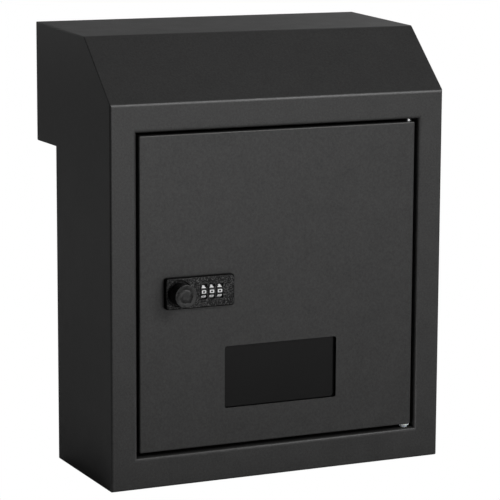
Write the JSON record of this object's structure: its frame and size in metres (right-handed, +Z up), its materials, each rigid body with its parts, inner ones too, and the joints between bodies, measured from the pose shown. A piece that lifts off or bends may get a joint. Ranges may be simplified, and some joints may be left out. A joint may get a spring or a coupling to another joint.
{
  "type": "parcel drop box",
  "caption": "Wall-mounted steel drop box with a sloped hood, hinged windowed door with a combination cam lock, and a rear chute with a sprung flap.",
  "frame": {"origin": "centre of the box's mounting face, midway between the four mounting holes", "axes": "+X right seen from the front, +Y back through the wall, +Z up; the door faces -Y"},
  "size_m": [0.305, 0.1877, 0.375],
  "materials": {
    "black_powder_coat": "fine-textured matte black powder coat",
    "black_lock_casting": "satin black coated die-casting",
    "dial_plastic": "satin black with white numerals",
    "zinc_plated_steel": "bright zinc plate",
    "smoked_acrylic": "glossy dark smoked sheet",
    "white_nylon": "matte moulded",
    "black_rubber": "matte foam rubber"
  },
  "bodies": {
    "box": {"front_frame": "black_powder_coat", "hood_cover": "black_powder_coat", "left_side_panel": "black_powder_coat", "right_side_panel": "black_powder_coat", "bottom_panel": "black_powder_coat", "back_panel": "black_powder_coat", "rear_slot_frame": "black_powder_coat", "mail_ramp": "black_powder_coat", "flap_bracket_left": "black_powder_coat", "flap_bracket_right": "black_powder_coat", "flap_rod": "zinc_plated_steel", "rod_clip_left": "zinc_plated_steel", "rod_clip_right": "zinc_plated_steel", "flap_spring": "zinc_plated_steel", "hinge_pin_upper": "zinc_plated_steel", "hinge_pin_lower": "zinc_plated_steel", "hinge_washer_upper": "zinc_plated_steel", "hinge_bush_lower": "white_nylon", "door_stop_upper": "black_powder_coat", "door_stop_lower": "black_powder_coat"},
    "door": {"door_panel": "black_powder_coat", "window_spacer": "black_rubber", "window_pane": "smoked_acrylic", "window_retainer": "black_powder_coat", "window_stud_1": "zinc_plated_steel", "window_stud_2": "zinc_plated_steel", "window_stud_3": "zinc_plated_steel", "window_stud_4": "zinc_plated_steel", "window_nut_1": "zinc_plated_steel", "window_nut_2": "zinc_plated_steel", "window_nut_3": "zinc_plated_steel", "window_nut_4": "zinc_plated_steel", "lock_gasket": "black_rubber", "lock_housing": "black_lock_casting", "lock_rear_cover": "black_lock_casting", "cover_screw_upper": "zinc_plated_steel", "cover_screw_lower": "zinc_plated_steel", "barrel_nut": "zinc_plated_steel", "dial_axle": "zinc_plated_steel", "dial_detent_spring": "zinc_plated_steel"},
    "latch": {"lock_knob": "black_lock_casting", "lock_spindle": "zinc_plated_steel", "latch_cam": "zinc_plated_steel", "cam_washer": "zinc_plated_steel", "cam_screw": "zinc_plated_steel"},
    "dial_1": {"number_dial_1": "dial_plastic"},
    "dial_2": {"number_dial_2": "dial_plastic"},
    "dial_3": {"number_dial_3": "dial_plastic"},
    "reset": {"code_reset_button": "zinc_plated_steel"},
    "flap": {"rear_flap": "black_powder_coat"}
  },
  "joints": [
    {"name": "door_hinge", "type": "hinge", "parent": "box", "child": "door", "pos_m": [0.1221, -0.1185, -0.1055], "axis": [0, 0, 1], "range_deg": [0, 105]},
    {"name": "knob_turn", "type": "hinge", "parent": "door", "child": "latch", "pos_m": [-0.0937, -0.106, 0.0272], "axis": [0, 1, 0], "range_deg": [0, 90]},
    {"name": "dial_1_spin", "type": "hinge", "parent": "door", "child": "dial_1", "pos_m": [-0.0721, -0.1217, 0.0272], "axis": [1, 0, 0], "continuous": true},
    {"name": "dial_2_spin", "type": "hinge", "parent": "door", "child": "dial_2", "pos_m": [-0.0649, -0.1217, 0.0272], "axis": [1, 0, 0], "continuous": true},
    {"name": "dial_3_spin", "type": "hinge", "parent": "door", "child": "dial_3", "pos_m": [-0.0577, -0.1217, 0.0272], "axis": [1, 0, 0], "continuous": true},
    {"name": "reset_press", "type": "slide", "parent": "door", "child": "reset", "axis": [0, -1, 0], "range_m": [0, 0.0012], "stiffness_N_per_m": 400, "springref_m": -0.0005},
    {"name": "flap_hinge", "type": "hinge", "parent": "box", "child": "flap", "pos_m": [0, 0.0341, 0.225], "axis": [-1, 0, 0], "range_deg": [0, 70], "stiffness_Nm_per_rad": 0.02, "springref_deg": -22.92, "deforming": ["flap_spring"]}
  ]
}
